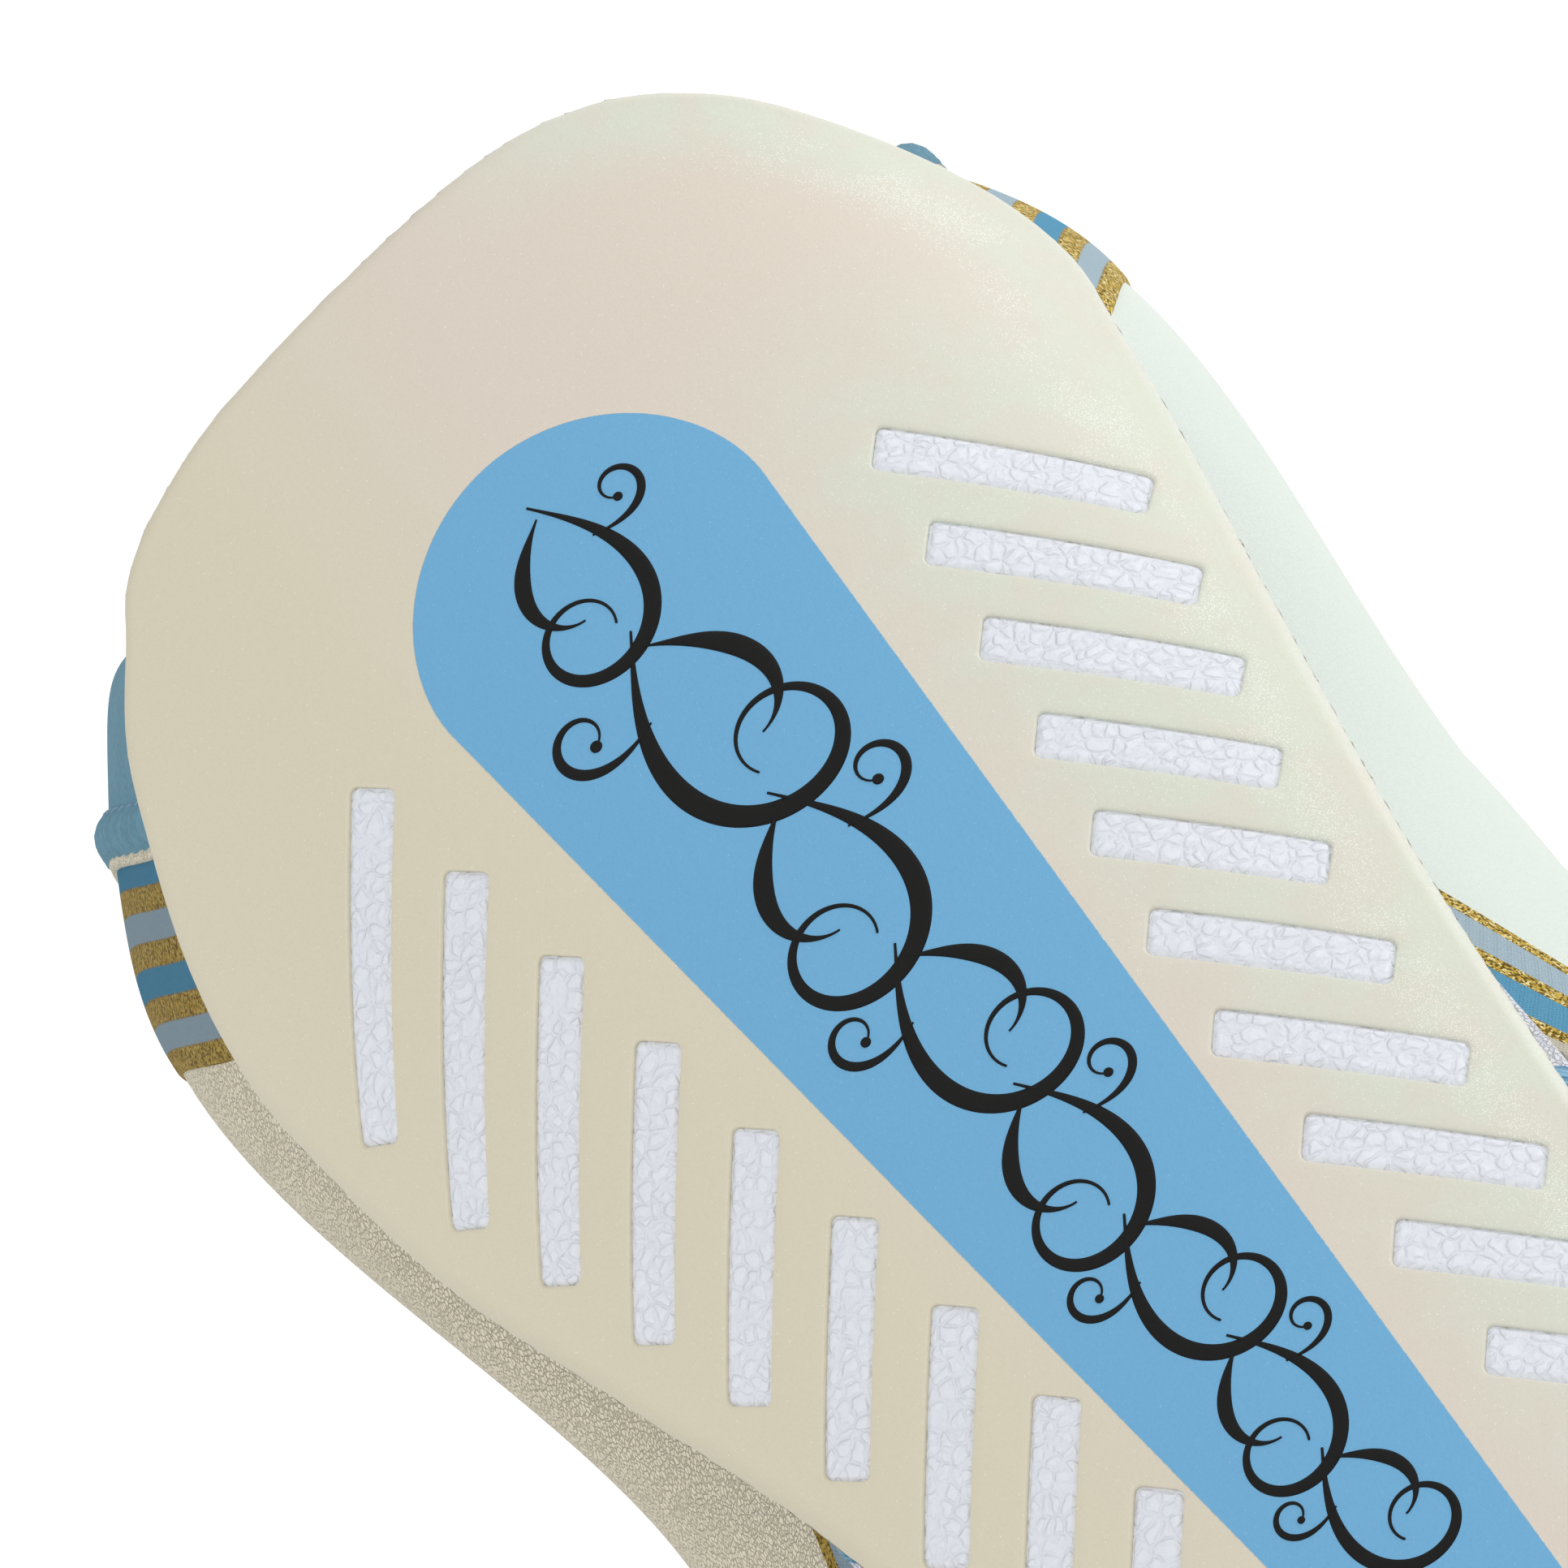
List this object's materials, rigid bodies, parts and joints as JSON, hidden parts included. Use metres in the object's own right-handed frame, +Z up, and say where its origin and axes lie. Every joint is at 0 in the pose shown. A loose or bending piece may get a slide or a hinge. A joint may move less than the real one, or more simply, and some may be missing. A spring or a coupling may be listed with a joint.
{
  "type": "football boot with lace cover",
  "caption": "Studded football boot with a padded blue collar, hooped ankle trim, a laced throat and a fold-over lace cover that hinges open towards the toe.",
  "frame": {"origin": "centre of the boot's bounding box, on the ground under the stud tips", "axes": "+X to the toe, +Y to the wearer's left (inner side of a right boot), +Z up"},
  "size_m": [0.2818, 0.0999, 0.1352],
  "materials": {
    "cream_film": "pearl coated",
    "white_leather": "tumbled grain",
    "cream_leather": "fine grain",
    "pale_fabric": "knit",
    "dark_fabric": "hook and loop",
    "blue_fabric": "knit",
    "hooped_fabric": "woven hoops",
    "white_fabric": "woven",
    "white_plastic": "satin",
    "gold_plastic": "satin",
    "blue_plastic": "satin",
    "board": "fibre board"
  },
  "bodies": {
    "boot": {"sole_plate": "white_plastic", "shank_rib": "gold_plastic", "insole_board": "board", "sockliner": "blue_fabric", "vamp": "cream_leather", "lateral_quarter": "cream_leather", "medial_quarter": "cream_leather", "ankle_band": "hooped_fabric", "collar_hem": "blue_fabric", "collar": "blue_fabric", "lining": "blue_fabric", "toe_puff": "board", "heel_counter": "board", "heel_cup": "white_plastic", "toe_rand": "white_plastic", "lateral_saddle_band": "hooped_fabric", "medial_saddle_band": "hooped_fabric", "tongue": "pale_fabric", "lateral_eyestay": "white_leather", "medial_eyestay": "white_leather", "lace": "white_fabric", "lace_knot": "white_fabric", "lateral_lace_end": "white_fabric", "medial_lace_end": "white_fabric", "lateral_aglet": "gold_plastic", "medial_aglet": "gold_plastic", "tongue_loop_patch": "dark_fabric", "tongue_pad": "pale_fabric", "flap_root": "cream_leather", "stud_fore_1": "blue_plastic", "stud_fore_2": "blue_plastic", "stud_fore_3": "blue_plastic", "stud_fore_4": "blue_plastic", "stud_fore_5": "blue_plastic", "stud_fore_6": "blue_plastic", "stud_fore_7": "blue_plastic", "stud_heel_1": "blue_plastic", "stud_heel_2": "blue_plastic", "stud_heel_3": "blue_plastic", "stud_heel_4": "blue_plastic", "lateral_lace_loop_1": "blue_fabric", "lateral_lace_loop_2": "blue_fabric", "lateral_lace_loop_3": "blue_fabric", "lateral_lace_loop_4": "blue_fabric", "medial_lace_loop_1": "blue_fabric", "medial_lace_loop_2": "blue_fabric", "medial_lace_loop_3": "blue_fabric", "medial_lace_loop_4": "blue_fabric"},
    "flap": {"flap_film": "cream_film", "flap_leather": "white_leather", "flap_backing": "pale_fabric", "flap_hook_patch": "dark_fabric"}
  },
  "joints": [
    {"name": "flap_hinge", "type": "hinge", "parent": "boot", "child": "flap", "pos_m": [0.09781, -0.00039, 0.07052], "axis": [0, 1, 0], "range_deg": [0, 130]}
  ]
}
